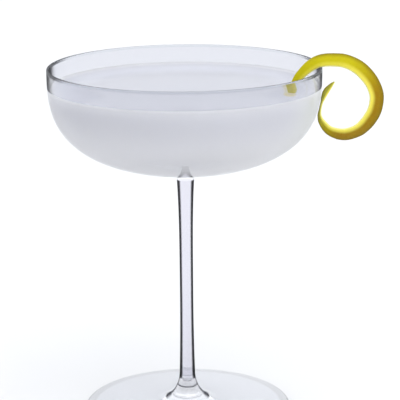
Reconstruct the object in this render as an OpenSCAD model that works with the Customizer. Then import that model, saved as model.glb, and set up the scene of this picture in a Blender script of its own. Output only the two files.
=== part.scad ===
// A gin cocktail served up in a stemmed coupe glass, with a curled lemon twist on the rim.
// Millimetres, +Z up. The origin is the middle of the foot's underside, on the glass's axis.
// The front is -Y and the twist hangs over the rim on the +X side.

/* [Glass] */
// Height of the whole glass, from table to rim
glass_height = 142.5; // [110:0.5:180]
// Outer diameter of the rim
rim_d = 108.5; // [85:0.5:135]
// Depth of the bowl outside, from the rim down to its lowest point
bowl_depth = 41.5; // [32:0.5:60]
// How full the bowl's curve is towards the stem
bowl_round = 2.3; // [1.8:0.1:3]
// How upright the bowl's sides are towards the rim
bowl_upright = 3; // [2:0.1:4]
// Thickness of the glass at the rim
rim_wall = 1.1; // [0.8:0.1:2]
// Thickness of the glass in the bottom of the bowl
floor_wall = 2.8; // [1.5:0.1:5]

/* [Stem] */
// Diameter of the stem where it is thinnest
stem_d = 5.4; // [4.5:0.1:9]
// Diameter of the stem just under the bowl
stem_top_d = 7.1; // [6:0.1:12]
// Diameter of the stem just over the foot's flare
stem_low_d = 6.3; // [5.5:0.1:11]
// Height of the stem's thinnest point above the table
stem_waist = 46; // [35:1:70]
// Height of the fillet under the bowl
join_h = 3.2; // [1.5:0.1:6]
// Reach of the fillet under the bowl
join_reach = 3; // [1:0.1:6]

/* [Foot] */
// Diameter of the foot
foot_d = 84; // [65:0.5:100]
// Thickness of the foot's rounded edge
foot_edge = 1.5; // [1:0.1:3]
// Height of the foot's top face where the flare begins
foot_rise = 3.4; // [2:0.1:6]
// Height of the trumpet flare that joins foot and stem
flare_h = 12; // [6:0.5:20]
// Reach of the trumpet flare out from the stem
flare_reach = 10; // [5:0.5:16]

/* [Drink] */
// Distance from the rim down to the drink's surface
fill_gap = 10.1; // [6:0.1:16]
// Gap between the drink and the glass around it
drink_gap = 0.1; // [0.05:0.05:0.3]

/* [Lemon twist] */
// Width of the peel where it is widest
peel_w = 7.6; // [5:0.1:9]
// Thickness of the peel
peel_t = 1.5; // [1:0.1:2]
// Lean of the peel's yellow face towards the front, in degrees
peel_lean = 45; // [35:1:50]
// How far the curl stands out from the rim at its widest
curl_out = 20.9; // [17:0.5:26]
// How far the curl hangs down below the rim
curl_drop = 25.7; // [21:0.1:32]
// How deep the peel's inner end dips into the drink
peel_dip = 3.2; // [1.5:0.1:5]
// Gap between the peel and the glass it rests on
peel_gap = 0.2; // [0.15:0.05:0.5]
// Gap between the peel's dipped end and the drink round it
dip_gap = 0.3; // [0.2:0.05:0.6]

/* [Hidden] */

// Glass: outer and inner curves of the bowl share one rule, set in by the wall
rim_r = rim_d / 2;
rim_bead = rim_wall / 2;
bead_z = glass_height - rim_bead;
outer_deep = bowl_depth - rim_bead;
inner_r = rim_r - rim_wall;
inner_deep = outer_deep - floor_wall;
join_r = stem_top_d / 2 + join_reach;
foot_r = foot_d / 2;
edge_r = foot_edge / 2;
flare_r = stem_low_d / 2 + flare_reach;
flare_top = foot_rise + flare_h;
level_z = glass_height - fill_gap;

// Radius and drop of a bowl curve at angle a, 0 at the middle and 90 at the rim
function curve_r(big_r, a) = big_r * pow(sin(a), 2 / bowl_round);
function curve_drop(deep, a) = deep * pow(cos(a), 2 / bowl_upright);
function angle_of_r(big_r, r) = asin(pow(r / big_r, bowl_round / 2));
function angle_of_drop(deep, drop) = acos(pow(drop / deep, bowl_upright / 2));
function bowl_curve(big_r, deep, a0, a1, steps) = [
    for (i = [0:steps])
        let (a = a0 + (a1 - a0) * i / steps)
        [curve_r(big_r, a), bead_z - curve_drop(deep, a)]
];

// Outer radius of the bowl at a given drop below the rim
function bowl_r_at(drop) =
    drop <= rim_bead ? rim_r : curve_r(rim_r, angle_of_drop(outer_deep, drop - rim_bead));

join_a = angle_of_r(rim_r, join_r);
join_z = bead_z - curve_drop(outer_deep, join_a);
stem_top = join_z - join_h;

// Stem radius by height: one swell towards the bowl and a gentler one towards the foot
function stem_r(z) =
    z > stem_waist
    ? stem_d / 2 + (stem_top_d - stem_d) / 2 * pow((z - stem_waist) / (stem_top - stem_waist), 4)
    : stem_d / 2 + (stem_low_d - stem_d) / 2 * pow((stem_waist - z) / (stem_waist - flare_top), 2);

foot_edge_curve = [
    for (a = [-90:22.5:90]) [foot_r - edge_r + edge_r * cos(a), edge_r + edge_r * sin(a)]
];
foot_top_curve = [
    for (i = [1:7])
        let (s = i / 8)
        [
            (foot_r - edge_r) + (flare_r - foot_r + edge_r) * s,
            foot_edge + (foot_rise - foot_edge) * sin(90 * s)
        ]
];
flare_curve = [
    for (a = [0:7.5:82.5])
        [flare_r - flare_reach * sin(a), flare_top - flare_h * cos(a)]
];
stem_curve = [
    for (i = [0:14])
        let (z = flare_top + (stem_top - flare_top) * i / 14)
        [stem_r(z), z]
];
join_curve = [
    for (a = [15:15:75])
        [join_r - join_reach * cos(a), stem_top + join_h * sin(a)]
];
bead_curve = [
    for (a = [22.5:22.5:157.5]) [rim_r - rim_bead + rim_bead * cos(a), bead_z + rim_bead * sin(a)]
];
inner_bowl = bowl_curve(inner_r, inner_deep, 0, 90, 30);
inner_curve = [for (i = [30:-1:0]) inner_bowl[i]];

glass_outline = concat(
    [[0, 0]], foot_edge_curve, foot_top_curve, flare_curve, stem_curve, join_curve,
    bowl_curve(rim_r, outer_deep, join_a, 90, 30), bead_curve, inner_curve
);

// Drink: the inner bowl's own curve, set in by the gap and cut off at the level
drink_a = angle_of_drop(inner_deep - drink_gap, fill_gap - rim_bead);
drink_outline = concat(
    bowl_curve(inner_r - drink_gap, inner_deep - drink_gap, 0, drink_a, 26),
    [[0, level_z]]
);

// Lemon twist: how high its middle rides so that its near lower edge just clears the rim
rim_lean = peel_lean - 3;
seat_share = 0.78;
seat_up = peel_gap + 0.46 * seat_share * peel_w * sin(rim_lean) + peel_t / 2 * cos(rim_lean);

// How far out the tail's middle sits where its side just clears the outer wall
tail_y = -12;
function wall_out(drop, y) = sqrt(pow(bowl_r_at(drop), 2) - y * y) - rim_r;
function tail_out(drop, lean, wide, thick) =
    let (back_y = tail_y + wide * peel_w / 2 * cos(lean))
    wall_out(drop, back_y) + peel_gap + thick * peel_t / 2 * cos(lean) + wide * peel_w / 2 * sin(lean);

// Each stop along the peel: out from the rim, along it, up from it, lean, then width and
// thickness as shares of the widest. The first three lie on one line.
peel_stops = [
    [-13.45, -5, -fill_gap - peel_dip, peel_lean, 0.44, 0.8],
    [-12.25, -5, -fill_gap, peel_lean, 0.46, 0.8],
    [-10.25, -5, seat_up - 7.6, peel_lean, 0.5, 0.9],
    [-7.8, -5, seat_up - 4.5, peel_lean, 0.58, 1],
    [-4.5, -5, seat_up - 1.7, peel_lean - 1, 0.7, 1],
    [-0.7, -5, seat_up, rim_lean, seat_share, 1],
    [0.225 * curl_out, -5.3, seat_up + 0.3, rim_lean, 0.83, 1],
    [0.45 * curl_out, -5.8, seat_up - 0.4, rim_lean, 0.87, 1],
    [curl_out - 6.9, -6.3, seat_up - 2.8, peel_lean, 0.92, 1],
    [curl_out - 3.1, -7, -0.155 * curl_drop, peel_lean + 1, 0.95, 1],
    [curl_out - 0.8, -7.5, -0.315 * curl_drop, peel_lean + 3, 0.96, 1],
    [curl_out, -8, -0.463 * curl_drop, peel_lean + 5, 0.98, 1],
    [curl_out - 0.9, -8.7, -0.646 * curl_drop, peel_lean + 7, 1, 1],
    [curl_out - 3.2, -9.3, -0.8 * curl_drop, peel_lean + 8, 1, 1],
    [curl_out - 6.2, -9.8, -0.918 * curl_drop, peel_lean + 6, 0.98, 1],
    [0.54 * curl_out, -10.3, -0.98 * curl_drop, peel_lean + 5, 0.93, 1],
    [0.37 * curl_out, -10.7, -curl_drop, peel_lean + 5, 0.88, 1],
    [0.2 * curl_out, -11.1, 0.8 - curl_drop, peel_lean + 3, 0.78, 1],
    [0.07 * curl_out, -11.4, 2.4 - curl_drop, 42, 0.66, 0.95],
    [-0.7, -11.7, 5.2 - curl_drop, 34, 0.54, 0.8],
    [tail_out(curl_drop - 8, 18, 0.42, 0.6), tail_y, 8 - curl_drop, 18, 0.42, 0.6],
    [tail_out(curl_drop - 10.2, 8, 0.36, 0.45), tail_y, 10.2 - curl_drop, 8, 0.36, 0.45],
    [tail_out(curl_drop - 12.9, 10, 0.34, 0.4), tail_y, 12.9 - curl_drop, 10, 0.34, 0.4],
    [tail_out(curl_drop - 15.4, 32, 0.36, 0.4), tail_y, 15.4 - curl_drop, 32, 0.36, 0.4],
    [0.9, -11.7, 17.6 - curl_drop, 55, 0.33, 0.4],
    [2.6, -11.4, 19.6 - curl_drop, 55, 0.22, 0.35],
    [4, -11.2, 21 - curl_drop, 55, 0.05, 0.25]
];
stop_count = len(peel_stops);
steps_per_stop = 3;
ring_sides = 8;

// A smooth curve through the stops, and its direction
function stop_at(i) = peel_stops[max(0, min(stop_count - 1, i))];
function blend(p0, p1, p2, p3, u) =
    0.5 * (2 * p1 + (p2 - p0) * u + (2 * p0 - 5 * p1 + 4 * p2 - p3) * u * u
    + (3 * p1 - p0 - 3 * p2 + p3) * u * u * u);
function slope(p0, p1, p2, p3, u) =
    0.5 * ((p2 - p0) + 2 * (2 * p0 - 5 * p1 + 4 * p2 - p3) * u
    + 3 * (3 * p1 - p0 - 3 * p2 + p3) * u * u);
function peel_at(s) =
    let (i = min(stop_count - 2, floor(s)))
    blend(stop_at(i - 1), stop_at(i), stop_at(i + 1), stop_at(i + 2), s - i);
function peel_slope(s) =
    let (i = min(stop_count - 2, floor(s)))
    slope(stop_at(i - 1), stop_at(i), stop_at(i + 1), stop_at(i + 2), s - i);
function unit(v) = v / norm(v);

// Middle of the peel and its three directions: along, outward across the skin, across the width
function peel_mid(s) =
    let (p = peel_at(s))
    [rim_r + p[0], p[1], glass_height + p[2]];
function peel_along(s) =
    let (t = peel_slope(s))
    unit([t[0], t[1], t[2]]);
function peel_skin(s) =
    let (t = peel_along(s), flat = unit(cross(t, [0, 1, 0])), side = cross(flat, t), a = peel_at(s)[3])
    cos(a) * flat - sin(a) * side;
function peel_across(s) =
    let (t = peel_along(s), flat = unit(cross(t, [0, 1, 0])), side = cross(flat, t), a = peel_at(s)[3])
    sin(a) * flat + cos(a) * side;

// Cross-section of the peel: a flat strip with rounded edges and a slightly domed skin
section = [
    [0.5, 0.12], [0.4, 0.4], [0, 0.5], [-0.4, 0.4], [-0.5, 0.12], [-0.46, -0.5], [0, -0.44], [0.46, -0.5]
];
function ring(s) =
    let (m = peel_mid(s), n = peel_skin(s), w = peel_across(s), p = peel_at(s))
    [for (k = [0:ring_sides - 1]) m + section[k][0] * p[4] * peel_w * w + section[k][1] * p[5] * peel_t * n];
ring_count = (stop_count - 1) * steps_per_stop + 1;
peel_points = [for (i = [0:ring_count - 1]) each ring(i / steps_per_stop)];
peel_sides = [
    for (i = [0:ring_count - 2])
        for (k = [0:ring_sides - 1])
            let (a = i * ring_sides + k, b = i * ring_sides + (k + 1) % ring_sides)
            each [[a, a + ring_sides, b + ring_sides], [a, b + ring_sides, b]]
];
last_ring = (ring_count - 1) * ring_sides;
peel_ends = concat(
    [for (k = [1:ring_sides - 2]) [0, k, k + 1]],
    [for (k = [1:ring_sides - 2]) [last_ring, last_ring + k + 1, last_ring + k]]
);

// Slot that the peel's dipped end takes up in the drink
dip_mid = peel_mid(0);
dip_along = peel_along(0);
dip_skin = peel_skin(0);
dip_across = peel_across(0);
slot_w = peel_at(1)[4] * peel_w + 2 * dip_gap;
slot_t = peel_at(1)[5] * peel_t + 2 * dip_gap;
slot_len = 2 * peel_dip + 8;
slot_frame = [
    [dip_across[0], dip_skin[0], dip_along[0], dip_mid[0]],
    [dip_across[1], dip_skin[1], dip_along[1], dip_mid[1]],
    [dip_across[2], dip_skin[2], dip_along[2], dip_mid[2]],
    [0, 0, 0, 1]
];

module glass() {
    color([0.9, 0.93, 0.97, 0.4])
        rotate_extrude($fn = 96)
            polygon(glass_outline);
}

module peel_slot() {
    multmatrix(slot_frame)
        translate([-slot_w / 2, -slot_t / 2, -dip_gap])
            cube([slot_w, slot_t, slot_len]);
}

module drink() {
    color([0.82, 0.83, 0.86])
        difference() {
            rotate_extrude($fn = 96)
                polygon(drink_outline);
            peel_slot();
        }
}

module lemon_twist() {
    color([0.87, 0.78, 0.05])
        polyhedron(points = peel_points, faces = concat(peel_sides, peel_ends), convexity = 6);
}

glass();
drink();
lemon_twist();
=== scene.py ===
"""A pale gin cocktail, served up in a stemmed coupe glass with a curled lemon twist."""

from __future__ import annotations

import logging
import math
from dataclasses import dataclass, field
from enum import Enum

import bmesh
import bpy
from bpy.types import Material, Mesh, NodeSocket, NodeTree, Object
from mathutils import Matrix, Vector


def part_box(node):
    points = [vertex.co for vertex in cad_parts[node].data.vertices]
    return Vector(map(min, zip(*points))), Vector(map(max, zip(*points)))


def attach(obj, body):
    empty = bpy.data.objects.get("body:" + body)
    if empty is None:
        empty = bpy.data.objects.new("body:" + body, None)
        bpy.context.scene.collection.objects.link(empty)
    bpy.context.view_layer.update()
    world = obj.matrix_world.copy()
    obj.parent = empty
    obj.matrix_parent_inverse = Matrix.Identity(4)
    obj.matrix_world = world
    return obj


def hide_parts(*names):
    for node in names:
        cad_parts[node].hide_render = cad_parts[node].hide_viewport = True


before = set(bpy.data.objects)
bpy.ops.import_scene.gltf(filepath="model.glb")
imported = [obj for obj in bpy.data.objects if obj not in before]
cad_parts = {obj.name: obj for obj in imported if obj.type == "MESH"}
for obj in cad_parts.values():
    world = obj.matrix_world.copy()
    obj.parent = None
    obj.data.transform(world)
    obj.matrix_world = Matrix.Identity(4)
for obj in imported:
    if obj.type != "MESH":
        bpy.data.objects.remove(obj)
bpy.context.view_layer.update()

LOG = logging.getLogger("cocktail")
MM = 0.001
ROOT = "root"
STRIP = "strip"

Colour = tuple[float, float, float]
Point = tuple[float, float, float]
Span = tuple[float, float]


class Slot(Enum):
    """The record's material slots."""

    GLASS = "glass"
    DRINK = "drink"
    PEEL = "lemon_peel"


class Node(Enum):
    """The solids that the finished pieces stand for."""

    GLASS = "glass"
    DRINK = "drink"
    PEEL = "lemon_twist"


# ---- Small helpers for node trees and meshes ----


@dataclass
class Wiring:
    """Adds nodes to one tree and joins them."""

    tree: NodeTree

    def add(
        self, kind: str, inputs: dict[str, object] | None = None, **settings: object
    ) -> bpy.types.Node:
        """Add a node.

        Args:
            kind: The node's type name.
            inputs: Links or plain values for its inputs, by name.
            settings: Properties to set on it.

        Returns:
            The new node.
        """
        node = self.tree.nodes.new(kind)
        for name, value in settings.items():
            setattr(node, name, value)
        for name, value in (inputs or {}).items():
            self.feed(node.inputs[name], value)
        return node

    def join(self, start: NodeSocket, end: NodeSocket) -> None:
        """Link an output to an input."""
        self.tree.links.new(start, end)

    def feed(self, socket: NodeSocket, value: object) -> None:
        """Give an input either a link or a plain value.

        Args:
            socket: The input.
            value: An output socket, or a number, vector or colour.
        """
        if isinstance(value, NodeSocket):
            self.join(value, socket)
        else:
            socket.default_value = value

    def math(self, operation: str, first: object, second: object = 0.0) -> object:
        """Add a Math node.

        Args:
            operation: Its operation.
            first: First input.
            second: Second input.

        Returns:
            The result socket.
        """
        node = self.add("ShaderNodeMath", operation=operation)
        self.feed(node.inputs[0], first)
        self.feed(node.inputs[1], second)
        return node.outputs[0]

    def vector_math(self, operation: str, first: object, second: object) -> object:
        """Add a Vector Math node.

        Args:
            operation: Its operation.
            first: First vector.
            second: Second vector.

        Returns:
            The vector socket.
        """
        node = self.add("ShaderNodeVectorMath", operation=operation)
        self.feed(node.inputs[0], first)
        self.feed(node.inputs[1], second)
        return node.outputs[0]

    def scaled(self, vector: object, factor: object) -> object:
        """Return a vector times a number."""
        node = self.add("ShaderNodeVectorMath", {"Scale": factor}, operation="SCALE")
        self.feed(node.inputs[0], vector)
        return node.outputs[0]

    def length(self, vector: object) -> object:
        """Return a vector's length."""
        node = self.add("ShaderNodeVectorMath", operation="LENGTH")
        self.feed(node.inputs[0], vector)
        return node.outputs["Value"]

    def split(self, vector: object) -> tuple[object, ...]:
        """Return a vector's X, Y and Z."""
        return tuple(self.add("ShaderNodeSeparateXYZ", {"Vector": vector}).outputs)

    def combine(self, x: object, y: object, z: object = 0.0) -> object:
        """Return the vector of three numbers."""
        return self.add("ShaderNodeCombineXYZ", {"X": x, "Y": y, "Z": z}).outputs[0]

    def remap(
        self, value: object, low: float, high: float, to_low: float = 0.0, to_high: float = 1.0
    ) -> object:
        """Map a number smoothly from one range to another.

        Args:
            value: The number.
            low: Start of its range.
            high: End of its range.
            to_low: Result at the start.
            to_high: Result at the end.

        Returns:
            The result socket.
        """
        ends = {"From Min": low, "From Max": high, "To Min": to_low, "To Max": to_high}
        inputs = {"Value": value, **ends}
        node = self.add("ShaderNodeMapRange", inputs, interpolation_type="SMOOTHSTEP")
        return node.outputs[0]

    def toward(self, share: object, first: object, second: object) -> object:
        """Return the number that lies a share of the way from a first to a second."""
        step = self.math("MULTIPLY", share, self.math("SUBTRACT", second, first))
        return self.math("ADD", first, step)

    def noise(self, vector: object, scale: float, detail: float = 2.0) -> object:
        """Return cloudy noise from 0 to 1.

        Args:
            vector: Where it is read.
            scale: Clouds to a metre.
            detail: How many finer layers it has.
        """
        inputs = {"Vector": vector, "Scale": scale, "Detail": detail}
        return self.add("ShaderNodeTexNoise", inputs).outputs[0]

    def swing(self, noise: object, amount: object) -> object:
        """Turn noise into a swing of up to half an amount either way."""
        return self.math("MULTIPLY", self.math("SUBTRACT", noise, 0.5), amount)

    def blend(self, share: object, first: object, second: object) -> object:
        """Mix two colours.

        Args:
            share: Share of the second.
            first: First colour.
            second: Second colour.

        Returns:
            The colour socket.
        """
        node = self.add("ShaderNodeMix", data_type="RGBA", clamp_factor=True)
        self.feed(node.inputs[0], share)
        for socket, value in ((node.inputs[6], first), (node.inputs[7], second)):
            self.feed(socket, value if isinstance(value, NodeSocket) else (*value, 1.0))
        return node.outputs[2]

    def mix(self, share: object, first: object, second: object) -> object:
        """Mix two shaders.

        Args:
            share: Share of the second.
            first: First shader.
            second: Second shader.

        Returns:
            The shader socket.
        """
        node = self.add("ShaderNodeMixShader")
        for socket, value in zip(node.inputs, (share, first, second)):
            self.join(value, socket)
        return node.outputs[0]

    def on_piece(self) -> object:
        """Return where a spot lies on its piece, for a finish."""
        return self.add("ShaderNodeTexCoord").outputs["Object"]

    def position(self) -> object:
        """Return where a point lies, for a geometry tree."""
        return self.add("GeometryNodeInputPosition").outputs[0]


def new_material(name: str) -> tuple[Material, Wiring, bpy.types.Node]:
    """Make an empty material.

    Args:
        name: Its name.

    Returns:
        The material, its wiring and its output node.
    """
    material = bpy.data.materials.new(name)
    material.use_nodes = True
    material.node_tree.nodes.clear()
    wiring = Wiring(material.node_tree)
    return material, wiring, wiring.add("ShaderNodeOutputMaterial")


def new_piece(name: str, mesh: Mesh) -> Object:
    """Put a mesh in the scene.

    Args:
        name: The piece's name.
        mesh: Its mesh.

    Returns:
        The object.
    """
    piece = bpy.data.objects.new(name, mesh)
    bpy.context.scene.collection.objects.link(piece)
    return piece


def chain_object(name: str, points: list[Point]) -> Object:
    """Make an object of points joined in one chain.

    Args:
        name: Its name.
        points: The points, in metres.

    Returns:
        The object.
    """
    mesh = bpy.data.meshes.new(name)
    mesh.from_pydata(points, [(i, i + 1) for i in range(len(points) - 1)], [])
    return new_piece(name, mesh)


def face_outward(mesh: Mesh) -> None:
    """Turn a closed mesh's faces outward."""
    work = bmesh.new()
    work.from_mesh(mesh)
    bmesh.ops.recalc_face_normals(work, faces=work.faces)
    if work.calc_volume(signed=True) < 0:
        bmesh.ops.reverse_faces(work, faces=work.faces)
    work.to_mesh(mesh)
    work.free()


def settle(
    host: Object, tree: NodeTree, values: dict[str, float], name: str
) -> Object:
    """Run a geometry tree on a host and keep its result as a plain mesh.

    Args:
        host: The object whose points feed the tree.
        tree: The geometry tree.
        values: The tree's named inputs and their values.
        name: Name of the finished piece.

    Returns:
        The finished piece, with no modifier.
    """
    modifier = host.modifiers.new("shape", "NODES")
    modifier.node_group = tree
    for item in tree.interface.items_tree:
        if item.item_type == "SOCKET" and item.in_out == "INPUT" and item.name in values:
            modifier[item.identifier] = values[item.name]
    graph = bpy.context.evaluated_depsgraph_get()
    mesh = bpy.data.meshes.new_from_object(
        host.evaluated_get(graph), preserve_all_data_layers=True, depsgraph=graph
    )
    bpy.data.objects.remove(host)
    mesh.name = name
    face_outward(mesh)
    for polygon in mesh.polygons:
        polygon.use_smooth = True
    return new_piece(name, mesh)


# ---- Geometry trees ----


@dataclass
class Rows:
    """A grid with one row of points for each point of a chain.

    Index says which point a row belongs to, and angle where on its row a grid point lies.
    """

    tree: NodeTree
    wiring: Wiring
    given: object
    grid: object
    index: object
    angle: object


@dataclass
class ChainTree:
    """What both trees share: rows of points laid round a chain, moved and welded."""

    name: str
    material: Material
    weld: float = 1e-6

    def begin(self, around: str, sizes: tuple[str, ...] = ()) -> Rows:
        """Make the tree, its named inputs and its grid.

        Args:
            around: Name of the input that says how many points go round.
            sizes: Names of the inputs that are sizes.

        Returns:
            The grid's rows.
        """
        tree = bpy.data.node_groups.new(self.name, "GeometryNodeTree")
        face = tree.interface
        face.new_socket("Geometry", in_out="INPUT", socket_type="NodeSocketGeometry")
        face.new_socket(around, in_out="INPUT", socket_type="NodeSocketInt")
        for label in sizes:
            face.new_socket(label, in_out="INPUT", socket_type="NodeSocketFloat")
        face.new_socket("Geometry", in_out="OUTPUT", socket_type="NodeSocketGeometry")
        w = Wiring(tree)
        given = w.add("NodeGroupInput").outputs
        chain = {"Geometry": given["Geometry"]}
        count = w.add("GeometryNodeAttributeDomainSize", chain, component="MESH")
        points = count.outputs["Point Count"]
        sides = {"Size X": 1.0, "Size Y": 1.0}
        rungs = {"Vertices X": points, "Vertices Y": w.math("ADD", given[around], 1.0)}
        grid = w.add("GeometryNodeMeshGrid", {**sides, **rungs})
        # The grid is 1 m square round the origin: a place plus half a side is a share of it
        x, y, _ = w.split(w.position())
        row = w.math("MULTIPLY", w.math("ADD", x, 0.5), w.math("SUBTRACT", points, 1.0))
        angle = w.math("MULTIPLY", w.math("ADD", y, 0.5), math.tau)
        return Rows(tree, w, given, grid.outputs["Mesh"], w.math("ROUND", row), angle)

    @staticmethod
    def named(w: Wiring, name: str, kind: str = "FLOAT_VECTOR") -> object:
        """Return a named attribute's socket."""
        node = w.add("GeometryNodeInputNamedAttribute", {"Name": name}, data_type=kind)
        return node.outputs[0]

    def read(self, rows: Rows, name: str = "", kind: str = "FLOAT_VECTOR") -> object:
        """Read the chain's position, or one of its attributes, on each row.

        Args:
            rows: The grid's rows.
            name: The attribute's name, or nothing for the position.
            kind: FLOAT or FLOAT_VECTOR.

        Returns:
            The value socket.
        """
        w = rows.wiring
        value = self.named(w, name, kind) if name else w.position()
        inputs = {"Geometry": rows.given["Geometry"], "Value": value, "Index": rows.index}
        node = w.add("GeometryNodeSampleIndex", inputs, data_type=kind, domain="POINT")
        return node.outputs[0]

    def place(self, rows: Rows, mesh: object, spot: object) -> object:
        """Move the grid's points to their places and merge its seam and poles.

        Args:
            rows: The grid's rows.
            mesh: The mesh socket.
            spot: Where each point goes.

        Returns:
            The geometry socket.
        """
        w = rows.wiring
        moved = w.add("GeometryNodeSetPosition", {"Geometry": mesh, "Position": spot}).outputs[0]
        inputs = {"Geometry": moved, "Distance": self.weld}
        return w.add("GeometryNodeMergeByDistance", inputs).outputs[0]

    def end(self, rows: Rows, geometry: object) -> NodeTree:
        """End the tree in Realize Instances, Set Material and its output.

        Args:
            rows: The grid's rows.
            geometry: The last geometry socket.

        Returns:
            The finished tree.
        """
        w = rows.wiring
        real = w.add("GeometryNodeRealizeInstances", {"Geometry": geometry}).outputs[0]
        inputs = {"Geometry": real, "Material": self.material}
        dressed = w.add("GeometryNodeSetMaterial", inputs).outputs[0]
        w.join(dressed, w.add("NodeGroupOutput").inputs[0])
        return rows.tree


@dataclass
class LatheTree(ChainTree):
    """A tree that turns a chain of points (radius, 0, height) round the Z axis."""

    def build(self) -> NodeTree:
        """Make the tree.

        Returns:
            A geometry tree with the input Segments.
        """
        rows = self.begin("Segments")
        w = rows.wiring
        radius, _, height = w.split(self.read(rows))
        spot = w.combine(
            w.math("MULTIPLY", radius, w.math("COSINE", rows.angle)),
            w.math("MULTIPLY", radius, w.math("SINE", rows.angle)),
            height,
        )
        return self.end(rows, self.place(rows, rows.grid, spot))


@dataclass
class PeelTree(ChainTree):
    """A tree that sweeps a domed, pitted strip along a chain of points.

    Each point of the chain carries across, skin, half_width, half_thick and travel. The result
    carries strip: travel, and the place across and up the section, both from -1 to 1.
    """

    weld: float = 2e-6
    # The section: powers below 1 square an oval off, and only the skin's middle has the dome
    side_power: float = 0.36
    rise_power: float = 0.5
    dome: float = 0.16
    # Pores on the skin, and lumps on the pith
    pore_soft: float = 0.35
    pore_span: Span = (0.06, 0.42)
    swell_scale: float = 260.0
    grain_scale: float = 1500.0
    grain_detail: float = 3.0
    skin_span: Span = (0.55, 0.9)

    def build(self) -> NodeTree:
        """Make the tree.

        Returns:
            A geometry tree with the inputs Around, Pore Size, Pore Depth, Unevenness and
            Pith Grain.
        """
        rows = self.begin("Around", ("Pore Size", "Pore Depth", "Unevenness", "Pith Grain"))
        w = rows.wiring
        side = self.squared(w, w.math("COSINE", rows.angle), self.side_power)
        rise = self.squared(w, w.math("SINE", rows.angle), self.rise_power)
        middle = w.math("SUBTRACT", 1.0, w.math("MULTIPLY", side, side))
        crown = w.math("MULTIPLY", middle, self.dome)
        height = w.math("ADD", w.math("MULTIPLY", rise, 1.0 - self.dome), crown)
        lift = w.math("MULTIPLY", height, self.read(rows, "half_thick", "FLOAT"))
        reach = w.math("MULTIPLY", side, self.read(rows, "half_width", "FLOAT"))
        sideways = w.scaled(self.read(rows, "across"), reach)
        upward = w.scaled(self.read(rows, "skin"), lift)
        spot = w.vector_math("ADD", self.read(rows), w.vector_math("ADD", sideways, upward))
        # Stored before the move, because both the index and the angle are read off the flat grid
        strip = w.combine(self.read(rows, "travel", "FLOAT"), side, rise)
        inputs = {"Geometry": rows.grid, "Name": STRIP, "Value": strip}
        kind = {"data_type": "FLOAT_VECTOR", "domain": "POINT"}
        store = w.add("GeometryNodeStoreNamedAttribute", inputs, **kind)
        swept = self.place(rows, store.outputs[0], spot)
        normal = w.add("GeometryNodeInputNormal").outputs[0]
        inputs = {"Geometry": swept, "Offset": w.scaled(normal, self.relief(rows))}
        return self.end(rows, w.add("GeometryNodeSetPosition", inputs).outputs[0])

    def relief(self, rows: Rows) -> object:
        """Return how far each point stands proud: oil glands pit the skin, the pith is lumpy."""
        w, given = rows.wiring, rows.given
        scale = w.math("DIVIDE", 1.0, given["Pore Size"])
        inputs = {"Vector": w.position(), "Scale": scale, "Smoothness": self.pore_soft}
        pit = w.add("ShaderNodeTexVoronoi", inputs, feature="SMOOTH_F1")
        bowl = w.remap(pit.outputs["Distance"], *self.pore_span, -1.0, 0.0)
        hollow = w.math("MULTIPLY", bowl, given["Pore Depth"])
        uneven = w.swing(w.noise(w.position(), self.swell_scale), given["Unevenness"])
        grain = w.noise(w.position(), self.grain_scale, self.grain_detail)
        lumps = w.swing(grain, given["Pith Grain"])
        on_skin = w.remap(w.split(self.named(w, STRIP))[2], *self.skin_span)
        return w.math("ADD", uneven, w.toward(on_skin, lumps, hollow))

    @staticmethod
    def squared(w: Wiring, value: object, power: float) -> object:
        """Return sign(value) * |value| ** power."""
        size = w.math("POWER", w.math("ABSOLUTE", value), power)
        return w.math("MULTIPLY", w.math("SIGN", value), size)


# ---- Finishes ----


@dataclass(frozen=True)
class GlassZone:
    """How the glass looks from one height up to the next, painted shade included.

    Args:
        start: Height in metres where the zone begins.
        tint_and_shade: What a wall lets through.
        edge: The painted shade that gathers where the wall is seen at a slant.
        weight: How much of it gathers.
        low: Slant at which it starts.
        high: Slant at which it is complete.
    """

    start: float
    tint_and_shade: Colour
    edge: Colour
    weight: float
    low: float
    high: float


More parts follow.
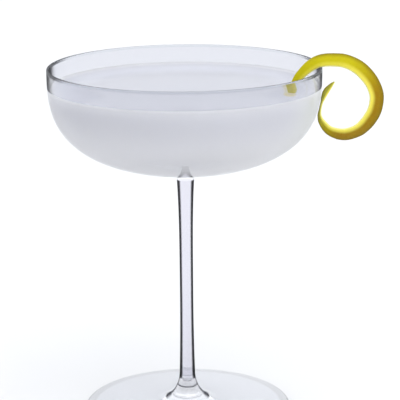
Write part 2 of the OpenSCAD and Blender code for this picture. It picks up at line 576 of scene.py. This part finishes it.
@dataclass(frozen=True)
class ClearGlass:
    """Polished soda-lime glass with painted shade. Lengths are in metres.

    Its zones go from the foot up, each softly into the next; several of them darken what the wall
    lets through as painted shade, and all paint grey shade where a wall is seen at a slant. Just
    inside the foot's edge lies a band of painted shade, and shade is what the glass lets lamps
    through by.
    """

    # Zone colours: the glass's own faint blue, darkened as painted shade in the foot's flare, the
    # stem, the band above the drink and the rim
    zones: tuple[GlassZone, ...] = (
        GlassZone(0.0, (0.955, 0.965, 0.995), (0.60, 0.61, 0.64), 0.3, 0.75, 0.95),
        GlassZone(0.0045, (0.84, 0.85, 0.88), (0.04, 0.04, 0.055), 0.92, 0.46, 0.70),
        GlassZone(0.0062, (0.97, 0.97, 0.99), (0.10, 0.10, 0.14), 0.85, 0.5, 0.75),
        GlassZone(0.0129, (0.34, 0.34, 0.40), (0.02, 0.02, 0.03), 0.9, 0.2, 0.45),
        GlassZone(0.0133, (0.78, 0.77, 0.84), (0.035, 0.03, 0.04), 0.94, 0.19, 0.37),
        GlassZone(0.0968, (0.985, 0.985, 0.99), (0.50, 0.50, 0.53), 0.2, 0.6, 0.98),
        GlassZone(0.1351, (0.80, 0.805, 0.845), (0.03, 0.03, 0.045), 0.85, 0.68, 0.86),
        GlassZone(0.1414, (0.72, 0.74, 0.78), (0.03, 0.03, 0.04), 0.72, 0.43, 0.68),
    )
    shade: Colour = (0.975, 0.98, 0.985)
    # A band of painted shade just inside the foot's edge
    foot_rim_shade: Colour = (0.86, 0.865, 0.885)
    ring_r: float = 0.0375
    ring_soft: float = 0.0012
    soft: float = 0.0003
    ior: float = 1.5

    def material(self) -> Material:
        """Make the material."""
        material, w, out = new_material("clear_glass")
        # Painted shade: grey gathers where a wall is seen at a slant, and each zone dims what it
        # lets through
        slant = w.add("ShaderNodeLayerWeight", {"Blend": 0.5}).outputs["Facing"]
        x, y, z = w.split(w.on_piece())
        # Painted shade: a darker band just inside the foot's edge
        in_ring = w.remap(w.length(w.combine(x, y)), self.ring_r, self.ring_r + self.ring_soft)
        first = self.zones[0]
        tint_and_shade: object = w.blend(in_ring, first.tint_and_shade, self.foot_rim_shade)
        edge: object = first.edge
        weight: object = w.remap(slant, first.low, first.high, 0.0, first.weight)
        for zone in self.zones[1:]:
            above = w.remap(z, zone.start - self.soft / 2, zone.start + self.soft / 2)
            gathered = w.remap(slant, zone.low, zone.high, 0.0, zone.weight)
            tint_and_shade = w.blend(above, tint_and_shade, zone.tint_and_shade)
            edge = w.blend(above, edge, zone.edge)
            weight = w.toward(above, weight, gathered)
        looks = {"Roughness": 0.0, "IOR": self.ior, "Transmission Weight": 1.0}
        body = w.add("ShaderNodeBsdfPrincipled", {"Base Color": tint_and_shade, **looks})
        dark = w.add("ShaderNodeBsdfTransparent", {"Color": edge})
        seen = w.mix(weight, body.outputs[0], dark.outputs[0])
        # Lamps shine straight through, so that the drink and the floor are lit
        through = w.add("ShaderNodeBsdfTransparent", {"Color": (*self.shade, 1.0)})
        lamp = w.add("ShaderNodeLightPath").outputs["Is Shadow Ray"]
        w.join(w.mix(lamp, seen, through.outputs[0]), out.inputs["Surface"])
        return material


@dataclass(frozen=True)
class CloudyDrink:
    """A pale, faintly milky gin cocktail with a still surface. Lengths are in metres.

    A span holds the two places, or values, between which one look turns into the next.
    """

    # The body, painted lighter (deep) at the bottom and darker (pale) upward, with slow swirls,
    # and painted light that leaves one side dim and the other lit
    deep: Colour = (0.965, 0.965, 0.995)
    pale: Colour = (0.705, 0.71, 0.765)
    height_light_span: Span = (0.116, 0.134)
    height_light_share: float = 0.85
    swirl_share: float = 0.3
    swirl_scale: float = 28.0
    side_span: Span = (-0.052, 0.05)
    side_light: Span = (0.925, 1.02)
    # The surface, darker than the body as painted shade, from its middle to the brim, a band of
    # painted light by the wall; the brim's span is counted from the wall
    surface: Colour = (0.47, 0.475, 0.52)
    brim_light: Colour = (0.60, 0.61, 0.675)
    brim_light_span: Span = (0.016, 0.002)
    level: float = 0.1324
    wall: float = 0.0523
    skin: Span = (0.0004, 0.0001)
    rim: float = 0.0003
    # Lemon in the drink close to the peel, and a stain where the peel dips in
    lemon: Colour = (0.87, 0.91, 0.78)
    peel_spot: Point = (0.05, -0.01, 0.128)
    lemon_span: Span = (0.006, 0.032)
    lemon_share: float = 0.55
    stain: Colour = (0.49, 0.38, 0.005)
    entry: Point = (0.0411, -0.0082, 0.1324)
    entry_size: Point = (0.0030, 0.0062, 0.004)
    stain_span: Span = (0.6, 1.0)
    stain_share: float = 0.95
    # A painted glow: emission that stands in for the light the cloud scatters back; and how far
    # it lets light through
    bright: Colour = (0.93, 0.94, 0.97)
    painted_glow: float = 0.095
    clear: float = 0.35

    def material(self) -> Material:
        """Make the material."""
        material, w, out = new_material("cloudy_drink")
        looks = {
            "Base Color": self.stained(w, self.topped(w, self.clouded(w))),
            "Roughness": 0.04,
            "IOR": 1.345,
            "Transmission Weight": self.clear,
            "Subsurface Weight": 0.6,
            "Subsurface Radius": (1.0, 1.0, 1.0),
            "Subsurface Scale": 0.008,
            # Painted glow: the drink gives off light of its own
            "Emission Color": (*self.bright, 1.0),
            "Emission Strength": self.painted_glow,
        }
        w.join(w.add("ShaderNodeBsdfPrincipled", looks).outputs[0], out.inputs["Surface"])
        return material

    def clouded(self, w: Wiring) -> object:
        """Return the body's colour: painted lighter at the bottom and darker upward, with slow
        swirls, painted light on one side, and lemony by the peel.
        """
        place = w.on_piece()
        x, _, z = w.split(place)
        # Painted light: lighter at the bottom, darker upward, and lighter on one side
        height = w.math("MULTIPLY", w.remap(z, *self.height_light_span), self.height_light_share)
        swirl = w.math("MULTIPLY", w.noise(place, self.swirl_scale, 3.0), self.swirl_share)
        body = w.blend(w.math("ADD", height, swirl), self.deep, self.pale)
        body = w.scaled(body, w.remap(x, *self.side_span, *self.side_light))
        away = w.length(w.vector_math("SUBTRACT", place, self.peel_spot))
        return w.blend(w.remap(away, *self.lemon_span, self.lemon_share, 0.0), body, self.lemon)

    def topped(self, w: Wiring, body: object) -> object:
        """Lay the surface's colour over the body's: painted shade on the surface, and painted
        light in its brim by the wall.

        Args:
            w: The material's wiring.
            body: The body's colour.

        Returns:
            The colour socket.
        """
        x, y, z = w.split(w.on_piece())
        radius = w.length(w.combine(x, y))
        inward = w.remap(radius, self.wall - self.rim, self.wall, 1.0, 0.0)
        top = w.remap(z, self.level - self.skin[0], self.level - self.skin[1])
        # Painted light: the surface turns lighter close to the wall
        near_wall = w.remap(radius, self.wall - self.brim_light_span[0], self.wall - self.brim_light_span[1])
        skin = w.blend(near_wall, self.surface, self.brim_light)
        return w.blend(w.math("MULTIPLY", top, inward), body, skin)

    def stained(self, w: Wiring, body: object) -> object:
        """Add the stain where the peel dips in.

        Args:
            w: The material's wiring.
            body: The colour so far.

        Returns:
            The colour socket.
        """
        away = w.vector_math("SUBTRACT", w.on_piece(), self.entry)
        shares = w.vector_math("MULTIPLY", away, tuple(1 / size for size in self.entry_size))
        share = w.remap(w.length(shares), *self.stain_span, self.stain_share, 0.0)
        return w.blend(share, body, self.stain)


@dataclass(frozen=True)
class LemonPeel:
    """Lemon zest over pale pith, told apart by the strip attribute.

    Travel runs from 0 at the dipped end to 1 at the tail, and across and height from -1 to 1.
    """

    # The zest, with painted shade: darker golden round the outside of the curl, olive green at
    # the tail
    bright: Colour = (0.50, 0.44, 0.001)
    shaded_golden: Colour = (0.305, 0.175, 0.0)
    shaded_green: Colour = (0.36, 0.35, 0.045)
    golden_shade_from: Span = (0.26, 0.42)
    golden_shade_to: Span = (0.62, 0.76)
    green_shade_from: Span = (0.7, 0.8)
    mottle_scale: float = 420.0
    mottle_swing: float = 0.3
    # Oil glands; their size is in millimetres
    gland: Colour = (0.42, 0.30, 0.0)
    gland_size: float = 0.85
    gland_span: Span = (0.05, 0.4)
    gland_share: float = 0.22
    # The far edge is darker, except at the dipped end
    shadow: Colour = (0.19, 0.135, 0.001)
    far_span: Span = (0.1, 1.0)
    far_share: float = 0.85
    far_travel: Span = (0.14, 0.2)
    far_least: float = 0.1
    # Painted light: the near edge is paler, most of all along the curl
    pale: Colour = (0.82, 0.73, 0.10)
    near_span: Span = (-0.25, -0.92)
    near_light_share: float = 0.95
    near_travel: Span = (0.2, 0.4)
    near_growth: Span = (0.45, 1.0)
    # From the pith inside, by the cut edge, to the zest outside
    pith: Colour = (0.78, 0.75, 0.47)
    rind: Colour = (0.84, 0.79, 0.24)
    cut_span: Span = (-0.9, -0.55)
    zest_span: Span = (0.45, 0.72)
    roughness: Span = (0.75, 0.42)
    fine_scale: float = 3500.0

    def material(self) -> Material:
        """Make the material."""
        material, w, out = new_material("lemon_peel")
        read = w.add("ShaderNodeAttribute", attribute_name=STRIP)
        travel, across, height = w.split(read.outputs["Vector"])
        inside = w.blend(w.remap(height, *self.cut_span), self.pith, self.rind)
        outside = self.zest(w, travel, across)
        fine = w.noise(w.on_piece(), self.fine_scale)
        bump = w.add("ShaderNodeBump", {"Height": fine, "Strength": 0.25, "Distance": 0.0002})
        looks = {
            "Base Color": w.blend(w.remap(height, *self.zest_span), inside, outside),
            "Roughness": w.remap(height, *self.zest_span, *self.roughness),
            "Normal": bump.outputs[0],
            "IOR": 1.42,
            "Specular IOR Level": 0.12,
            "Subsurface Weight": 0.1,
            "Subsurface Radius": (1.0, 0.7, 0.15),
            "Subsurface Scale": 0.0008,
        }
        w.join(w.add("ShaderNodeBsdfPrincipled", looks).outputs[0], out.inputs["Surface"])
        return material

    def zest(self, w: Wiring, travel: object, across: object) -> object:
        """Return the zest's colour, with its painted shade and painted light.

        Args:
            w: The material's wiring.
            travel: Place along the strip.
            across: Place across it.
        """
        # Painted shade: golden round the outside of the curl, and olive green at the tail
        ends = w.remap(travel, *self.golden_shade_to, 1.0, 0.0)
        golden_shade_amount = w.math("MULTIPLY", w.remap(travel, *self.golden_shade_from), ends)
        mottle = w.swing(w.noise(w.on_piece(), self.mottle_scale, 3.0), self.mottle_swing)
        zest = w.blend(w.math("ADD", golden_shade_amount, mottle), self.bright, self.shaded_golden)
        zest = w.blend(w.remap(travel, *self.green_shade_from), zest, self.shaded_green)
        inputs = {"Vector": w.on_piece(), "Scale": 1 / (self.gland_size * MM)}
        gland = w.add("ShaderNodeTexVoronoi", inputs, feature="F1")
        dot = w.remap(gland.outputs["Distance"], *self.gland_span, self.gland_share, 0.0)
        zest = w.blend(dot, zest, self.gland)
        comes = w.remap(travel, *self.far_travel, self.far_least, 1.0)
        far = w.math("MULTIPLY", w.remap(across, *self.far_span, 0.0, self.far_share), comes)
        zest = w.blend(far, zest, self.shadow)
        # Painted light: the near edge turns paler
        grows = w.remap(travel, *self.near_travel, *self.near_growth)
        near_light = w.math("MULTIPLY", w.remap(across, *self.near_span, 0.0, self.near_light_share), grows)
        return w.blend(near_light, zest, self.pale)


@dataclass(frozen=True)
class PaleFloor:
    """A plain matt floor, painted lighter far away where the lamps light it less. Its fade is in
    metres.
    """

    colour: Colour = (0.80, 0.80, 0.805)
    far_light: Colour = (0.90, 0.90, 0.905)
    fade: Span = (0.5, 2.5)

    def material(self) -> Material:
        """Make the material."""
        material, w, out = new_material("pale_floor")
        # Painted light: the floor is lighter far away
        reach = w.remap(w.length(w.on_piece()), *self.fade)
        colour = w.blend(reach, self.colour, self.far_light)
        looks = {"Base Color": colour, "Roughness": 0.9, "Specular IOR Level": 0.1}
        w.join(w.add("ShaderNodeBsdfPrincipled", looks).outputs[0], out.inputs["Surface"])
        return material


# ---- Pieces ----


@dataclass(frozen=True)
class Fineness:
    """How many steps each part of the glass's outline is drawn in."""

    edge: int = 16
    foot: int = 24
    flare: int = 36
    stem: int = 40
    join: int = 12
    bowl: int = 72
    bead: int = 12


@dataclass
class CoupeGlass:
    """The glass: bowl, stem and foot turned in one piece. Sizes are in millimetres."""

    rim_wall: float = 1.1
    bowl_depth: float = 41.5
    bowl_round: float = 2.3
    bowl_upright: float = 3.0
    floor_wall: float = 2.8
    stem_d: float = 5.4
    stem_top_d: float = 7.1
    stem_low_d: float = 6.3
    stem_waist: float = 46.0
    join_h: float = 3.2
    join_reach: float = 3.0
    foot_edge: float = 1.5
    foot_rise: float = 3.4
    flare_h: float = 12.0
    flare_reach: float = 10.0
    foot_r: float = 42.0
    segments: int = 192
    steps: Fineness = Fineness()
    height: float = field(init=False)
    rim_r: float = field(init=False)

    def __post_init__(self) -> None:
        """Take the overall sizes from the frame, and work out what follows from them."""
        _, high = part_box(Node.GLASS.value)
        self.height = high[2] / MM
        self.rim_r = round(high[0] / MM, 2)
        self.bead = self.rim_wall / 2
        self.bead_z = self.height - self.bead
        self.outer_deep = self.bowl_depth - self.bead
        self.inner_r = self.rim_r - self.rim_wall
        self.inner_deep = self.outer_deep - self.floor_wall
        self.flare_r = self.stem_low_d / 2 + self.flare_reach
        self.flare_top = self.foot_rise + self.flare_h
        self.join_r = self.stem_top_d / 2 + self.join_reach
        self.join_angle = math.asin((self.join_r / self.rim_r) ** (self.bowl_round / 2))
        join_z = self.bowl_point(self.rim_r, self.outer_deep, self.join_angle)[1]
        self.stem_top = join_z - self.join_h

    def bowl_point(self, radius: float, deep: float, angle: float) -> Span:
        """Return (radius, height) on a bowl curve.

        Args:
            radius: The curve's widest radius.
            deep: Its depth under the bead.
            angle: Where on the curve, from 0 in the middle to a right angle at the rim.
        """
        across = radius * max(math.sin(angle), 0.0) ** (2 / self.bowl_round)
        drop = deep * max(math.cos(angle), 0.0) ** (2 / self.bowl_upright)
        return across, self.bead_z - drop

    def bowl_curve(
        self, radius: float, deep: float, start: float, end: float, steps: int
    ) -> list[Span]:
        """Return points along a bowl curve.

        Args:
            radius: Its widest radius.
            deep: Its depth under the bead.
            start: First angle.
            end: Last angle.
            steps: Number of steps.
        """
        turn = end - start
        return [self.bowl_point(radius, deep, start + turn * i / steps) for i in range(steps + 1)]

    def stem_radius(self, z: float) -> float:
        """Return the stem's radius at a height: thinnest at the waist, wider to both ends."""
        if z > self.stem_waist:
            share = (z - self.stem_waist) / (self.stem_top - self.stem_waist)
            return self.stem_d / 2 + (self.stem_top_d - self.stem_d) / 2 * share**4
        share = (self.stem_waist - z) / (self.stem_waist - self.flare_top)
        return self.stem_d / 2 + (self.stem_low_d - self.stem_d) / 2 * share**2

    def foot_outline(self) -> list[Span]:
        """Return the foot's outline, from the middle underneath round its edge to the stem."""
        edge, steps = self.foot_edge / 2, self.steps
        rim = self.foot_r - edge
        points = [(0.0, 0.0)]
        points += [(rim - inset, 0.0) for inset in range(20, 0, -4)]
        for i in range(steps.edge + 1):
            a = math.radians(-90 + 180 * i / steps.edge)
            points.append((rim + edge * math.cos(a), edge + edge * math.sin(a)))
        climb = self.foot_rise - self.foot_edge
        for i in range(1, steps.foot):
            s = i / steps.foot
            r = rim + (self.flare_r - rim) * s
            points.append((r, self.foot_edge + climb * math.sin(math.pi / 2 * s)))
        for i in range(steps.flare):
            a = math.pi / 2 * i / steps.flare
            r = self.flare_r - self.flare_reach * math.sin(a)
            points.append((r, self.flare_top - self.flare_h * math.cos(a)))
        return points

    def stem_outline(self) -> list[Span]:
        """Return the stem's outline, up to the fillet under the bowl."""
        points, steps = [], self.steps
        for i in range(steps.stem + 1):
            z = self.flare_top + (self.stem_top - self.flare_top) * i / steps.stem
            points.append((self.stem_radius(z), z))
        for i in range(1, steps.join):
            a = math.pi / 2 * i / steps.join
            r = self.join_r - self.join_reach * math.cos(a)
            points.append((r, self.stem_top + self.join_h * math.sin(a)))
        return points

    def bowl_outline(self) -> list[Span]:
        """Return the bowl's outline: outside, over the rounded rim, and down the inside."""
        right, steps = math.pi / 2, self.steps
        points = self.bowl_curve(self.rim_r, self.outer_deep, self.join_angle, right, steps.bowl)
        for i in range(1, steps.bead):
            a = math.pi * i / steps.bead
            r = self.rim_r - self.bead + self.bead * math.cos(a)
            points.append((r, self.bead_z + self.bead * math.sin(a)))
        points += reversed(self.bowl_curve(self.inner_r, self.inner_deep, 0.0, right, steps.bowl))
        return points

    def build(self, finish: Material) -> Object:
        """Turn the outline into the glass.

        Args:
            finish: The glass's material.

        Returns:
            The finished piece.
        """
        outline = self.foot_outline() + self.stem_outline() + self.bowl_outline()
        host = chain_object("glass_outline", [(r * MM, 0.0, z * MM) for r, z in outline])
        tree = LatheTree("turn_glass", finish).build()
        piece = settle(host, tree, {"Segments": self.segments}, "coupe_glass")
        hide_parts(Node.GLASS.value)
        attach(piece, ROOT)
        return piece


@dataclass
class Drink:
    """The drink up to its level, with the liquid that climbs the wall. Millimetres.

    It bites into the wall, and across the shore the climb dies away inward.
    """

    glass: CoupeGlass
    bite: float = 0.06
    climb: float = 2.8
    reach: float = 2.3
    shore: float = 16.0
    wall_steps: int = 70
    shore_steps: int = 30
    flat_steps: int = 10
    segments: int = 192

    def outline(self, level: float) -> list[Span]:
        """Return the outline as (radius, height), from the bottom's middle to the surface's.

        Args:
            level: Height of the flat surface.
        """
        g = self.glass
        radius, deep = g.inner_r + self.bite, g.inner_deep + self.bite
        contact = level + self.climb
        top = math.acos(((g.bead_z - contact) / deep) ** (g.bowl_upright / 2))
        points = g.bowl_curve(radius, deep, 0.0, top, self.wall_steps)
        wall = points[-1][0] - self.bite
        for i in range(1, self.shore_steps + 1):
            inset = self.shore * (i / self.shore_steps) ** 2
            points.append((wall - inset, level + self.climb * math.exp(-inset / self.reach)))
        flat, steps = points[-1][0], self.flat_steps
        points += [(flat * (1 - i / steps), level) for i in range(1, steps + 1)]
        return points

    def build(self, finish: Material) -> Object:
        """Turn the outline into the drink.

        Args:
            finish: The drink's material.

        Returns:
            The finished piece.
        """
        outline = self.outline(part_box(Node.DRINK.value)[1][2] / MM)
        host = chain_object("drink_outline", [(r * MM, 0.0, z * MM) for r, z in outline])
        tree = LatheTree("turn_drink", finish).build()
        piece = settle(host, tree, {"Segments": self.segments}, "cloudy_drink")
        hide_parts(Node.DRINK.value)
        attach(piece, ROOT)
        return piece


@dataclass
class LemonTwist:
    """The strip of peel: dips in the drink, rests on the rim and curls outside. Millimetres."""

    glass: CoupeGlass
    width: float = 7.6
    thickness: float = 1.5
    lean: float = 45.0
    curl_out: float = 20.9
    curl_drop: float = 25.7
    dip: float = 3.2
    gap: float = 0.2
    fill_gap: float = 10.1
    tail_y: float = -12.0
    rim_share: float = 0.78
    end_share: float = 1e-4
    steps: int = 24
    around: int = 72
    pore_size: float = 0.85
    pore_depth: float = 0.07
    unevenness: float = 0.22
    pith_grain: float = 0.12

    def wall_at(self, drop: float) -> float:
        """Return the bowl's outer radius at a drop below the rim."""
        g = self.glass
        if drop <= g.bead:
            return g.rim_r
        angle = math.acos(((drop - g.bead) / g.outer_deep) ** (g.bowl_upright / 2))
        return g.bowl_point(g.rim_r, g.outer_deep, angle)[0]

    def tail_stop(self, drop: float, lean: float, wide: float, thick: float) -> tuple[float, ...]:
        """Return a stop of the tail whose back clears the wall.

        Args:
            drop: Distance below the rim.
            lean: Lean of the skin in degrees.
            wide: Share of the full width.
            thick: Share of the full thickness.
        """
        c, s = math.cos(math.radians(lean)), math.sin(math.radians(lean))
        back = self.tail_y + wide * self.width / 2 * c
        wall = math.sqrt(self.wall_at(drop) ** 2 - back**2) - self.glass.rim_r
        out = wall + self.gap + thick * self.thickness / 2 * c + wide * self.width / 2 * s
        return out, self.tail_y, -drop, lean, wide, thick

    def stops(self) -> list[tuple[float, ...]]:
        """Return the strip's stops, from the dipped end to the tail.

        Returns:
            For each: out from the rim, along it, up from it, lean, width and thickness shares.
        """
        rim_lean, share = self.lean - 3, self.rim_share
        seat = (
            self.gap
            + 0.46 * share * self.width * math.sin(math.radians(rim_lean))
            + self.thickness / 2 * math.cos(math.radians(rim_lean))
        )
        out, drop, lean = self.curl_out, self.curl_drop, self.lean
        return [
            (-13.45, -5, -self.fill_gap - self.dip, lean, 0.44, 0.8),
            (-12.25, -5, -self.fill_gap, lean, 0.46, 0.8),
            (-10.25, -5, seat - 7.6, lean, 0.5, 0.9),
            (-7.8, -5, seat - 4.5, lean, 0.58, 1),
            (-4.5, -5, seat - 1.7, lean - 1, 0.7, 1),
            (-0.7, -5, seat, rim_lean, share, 1),
            (0.225 * out, -5.3, seat + 0.3, rim_lean, 0.83, 1),
            (0.45 * out, -5.8, seat - 0.4, rim_lean, 0.87, 1),
            (out - 6.9, -6.3, seat - 2.8, lean, 0.92, 1),
            (out - 3.1, -7, -0.155 * drop, lean + 1, 0.95, 1),
            (out - 0.8, -7.5, -0.315 * drop, lean + 3, 0.96, 1),
            (out, -8, -0.463 * drop, lean + 5, 0.98, 1),
            (out - 0.9, -8.7, -0.646 * drop, lean + 7, 1, 1),
            (out - 3.2, -9.3, -0.8 * drop, lean + 8, 1, 1),
            (out - 6.2, -9.8, -0.918 * drop, lean + 6, 0.98, 1),
            (0.54 * out, -10.3, -0.98 * drop, lean + 5, 0.93, 1),
            (0.37 * out, -10.7, -drop, lean + 5, 0.88, 1),
            (0.2 * out, -11.1, 0.8 - drop, lean + 3, 0.78, 1),
            (0.07 * out, -11.4, 2.4 - drop, 42, 0.66, 0.95),
            (-0.7, -11.7, 5.2 - drop, 34, 0.54, 0.8),
            self.tail_stop(drop - 8, 18, 0.42, 0.6),
            self.tail_stop(drop - 10.2, 8, 0.36, 0.45),
            self.tail_stop(drop - 12.9, 10, 0.34, 0.4),
            self.tail_stop(drop - 15.4, 32, 0.36, 0.4),
            (0.9, -11.7, 17.6 - drop, 55, 0.33, 0.4),
            (2.6, -11.4, 19.6 - drop, 55, 0.22, 0.35),
            (4, -11.2, 21 - drop, 55, 0.05, 0.25),
        ]

    @staticmethod
    def between(stops: list[tuple[float, ...]], s: float) -> tuple[list[float], Vector]:
        """Return the values and the direction at a place along the stops.

        Args:
            stops: The stops.
            s: The place, in stops.

        Returns:
            The six values, and the unit direction of travel.
        """
        last = len(stops) - 1
        i = min(last - 1, int(s))
        u = s - i
        around = (stops[max(0, min(last, i + k))] for k in (-1, 0, 1, 2))
        values, slopes = [], []
        for a, b, c, d in zip(*around):
            square, cube = 2 * a - 5 * b + 4 * c - d, 3 * b - a - 3 * c + d
            values.append(0.5 * (2 * b + (c - a) * u + square * u**2 + cube * u**3))
            slopes.append(0.5 * ((c - a) + 2 * square * u + 3 * cube * u**2))
        return values, Vector(slopes[:3]).normalized()

    def path(self) -> Object:
        """Make the chain that the strip is swept along.

        Returns:
            The chain, each of whose points carries what PeelTree reads.
        """
        stops = self.stops()
        last = len(stops) - 1
        shares = [0.0] + [i / self.steps for i in range(last * self.steps + 1)] + [float(last)]
        middles = []
        data = {"across": [], "skin": [], "half_width": [], "half_thick": [], "travel": []}
        for n, s in enumerate(shares):
            (out, along, up, lean, wide, thick), ahead = self.between(stops, s)
            flat = ahead.cross(Vector((0, 1, 0))).normalized()
            side = flat.cross(ahead)
            a = math.radians(lean)
            closed = self.end_share if n in (0, len(shares) - 1) else 1.0
            radius, height = self.glass.rim_r + out, self.glass.height + up
            middles.append((radius * MM, along * MM, height * MM))
            data["across"].append(math.sin(a) * flat + math.cos(a) * side)
            data["skin"].append(math.cos(a) * flat - math.sin(a) * side)
            data["half_width"].append(wide * self.width / 2 * MM * closed)
            data["half_thick"].append(thick * self.thickness / 2 * MM * closed)
            data["travel"].append(s / last)
        host = chain_object("peel_path", middles)
        for name, values in data.items():
            is_vector = isinstance(values[0], Vector)
            kind, member = ("FLOAT_VECTOR", "vector") if is_vector else ("FLOAT", "value")
            layer = host.data.attributes.new(name, kind, "POINT")
            for item, value in zip(layer.data, values):
                setattr(item, member, value)
        return host

    def build(self, finish: Material) -> Object:
        """Sweep the strip along its path.

        Args:
            finish: The peel's material.

        Returns:
            The finished piece.
        """
        inputs = {
            "Around": self.around,
            "Pore Size": self.pore_size * MM,
            "Pore Depth": self.pore_depth * MM,
            "Unevenness": self.unevenness * MM,
            "Pith Grain": self.pith_grain * MM,
        }
        tree = PeelTree("sweep_peel", finish).build()
        piece = settle(self.path(), tree, inputs, "lemon_twist_peel")
        piece.visible_glossy = False
        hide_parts(Node.PEEL.value)
        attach(piece, ROOT)
        return piece


# ---- Studio ----


@dataclass(frozen=True)
class SoftBox:
    """A square area lamp: where it hangs and its side in metres, and its power in watts."""

    name: str
    place: Point
    size: float
    power: float


@dataclass
class Studio:
    """The pale floor, soft light and camera. Lengths are in metres, angles in degrees."""

    # The camera, whose focal length and sensor are in millimetres
    focal: float = 155.5
    sensor: float = 36.0
    distance: float = 0.6719
    eye: float = 0.26
    pitch: float = 14.35
    yaw: float = 0.49
    roll: float = -0.46
    # The floor lies just below the foot, so that the two don't flicker
    floor_half: float = 6.0
    floor_drop: float = 0.0002
    # Light from all sides, and two lamps that face the drink
    air: Colour = (0.95, 0.97, 1.0)
    air_power: float = 1.12
    aim: Point = (0.0, 0.0, 0.1)
    lamps: tuple[SoftBox, ...] = (
        SoftBox("key", (0.5, -0.6, 1.5), 1.6, 8.0),
        SoftBox("back", (-0.3, 0.8, 1.7), 1.0, 4.0),
    )
    # Enough turns for light to leave the thick glass of the foot
    bounces: int = 32
    glossy_bounces: int = 16

    def floor(self) -> None:
        """Lay the floor."""
        mesh = bpy.data.meshes.new("floor")
        half = self.floor_half
        corners = [(-half, -half, 0), (half, -half, 0), (half, half, 0), (-half, half, 0)]
        mesh.from_pydata(corners, [], [(0, 1, 2, 3)])
        floor = new_piece("floor", mesh)
        floor.location.z = -self.floor_drop
        mesh.materials.append(PaleFloor().material())

    def sky(self) -> None:
        """Fill the room with soft light."""
        world = bpy.data.worlds.new("studio")
        bpy.context.scene.world = world
        world.use_nodes = True
        inputs = world.node_tree.nodes["Background"].inputs
        inputs["Color"].default_value = (*self.air, 1.0)
        inputs["Strength"].default_value = self.air_power

    def hang(self, lamp: SoftBox) -> None:
        """Hang a lamp that faces the drink."""
        data = bpy.data.lights.new(lamp.name, "AREA")
        data.size = lamp.size
        data.energy = lamp.power
        light = bpy.data.objects.new(lamp.name, data)
        light.location = lamp.place
        ahead = Vector(self.aim) - Vector(lamp.place)
        light.rotation_euler = ahead.to_track_quat("-Z", "Y").to_euler()
        bpy.context.scene.collection.objects.link(light)

    def camera(self) -> None:
        """Set up the camera."""
        data = bpy.data.cameras.new("camera")
        data.lens = self.focal
        data.sensor_width = self.sensor
        data.clip_start = 0.01
        camera = bpy.data.objects.new("camera", data)
        pitch, yaw, roll = (math.radians(a) for a in (self.pitch, self.yaw, self.roll))
        level = math.cos(pitch)
        ahead = Vector((math.sin(yaw) * level, math.cos(yaw) * level, -math.sin(pitch)))
        right = Vector((math.cos(yaw), -math.sin(yaw), 0))
        up = right.cross(ahead)
        c, s = math.cos(roll), math.sin(roll)
        right, up = c * right + s * up, c * up - s * right
        turn = Matrix((right, up, -ahead)).transposed().to_4x4()
        camera.matrix_world = Matrix.Translation((0, -self.distance, self.eye)) @ turn
        bpy.context.scene.collection.objects.link(camera)
        bpy.context.scene.camera = camera

    def build(self) -> None:
        """Set up the whole studio."""
        scene = bpy.context.scene
        scene.view_settings.view_transform = "Standard"
        scene.view_settings.look = "None"
        scene.cycles.max_bounces = self.bounces
        scene.cycles.transmission_bounces = self.bounces
        scene.cycles.glossy_bounces = self.glossy_bounces
        self.floor()
        self.sky()
        for lamp in self.lamps:
            self.hang(lamp)
        self.camera()


def main() -> None:
    """Build the drink, piece by piece, and its studio."""
    logging.basicConfig(level=logging.INFO, format="%(name)s: %(message)s")
    glass = CoupeGlass()
    pieces = [
        glass.build(ClearGlass().material()),
        Drink(glass).build(CloudyDrink().material()),
        LemonTwist(glass).build(LemonPeel().material()),
    ]
    for piece in pieces:
        LOG.info("%s: %d faces", piece.name, len(piece.data.polygons))
    Studio().build()


if __name__ == "__main__":
    main()
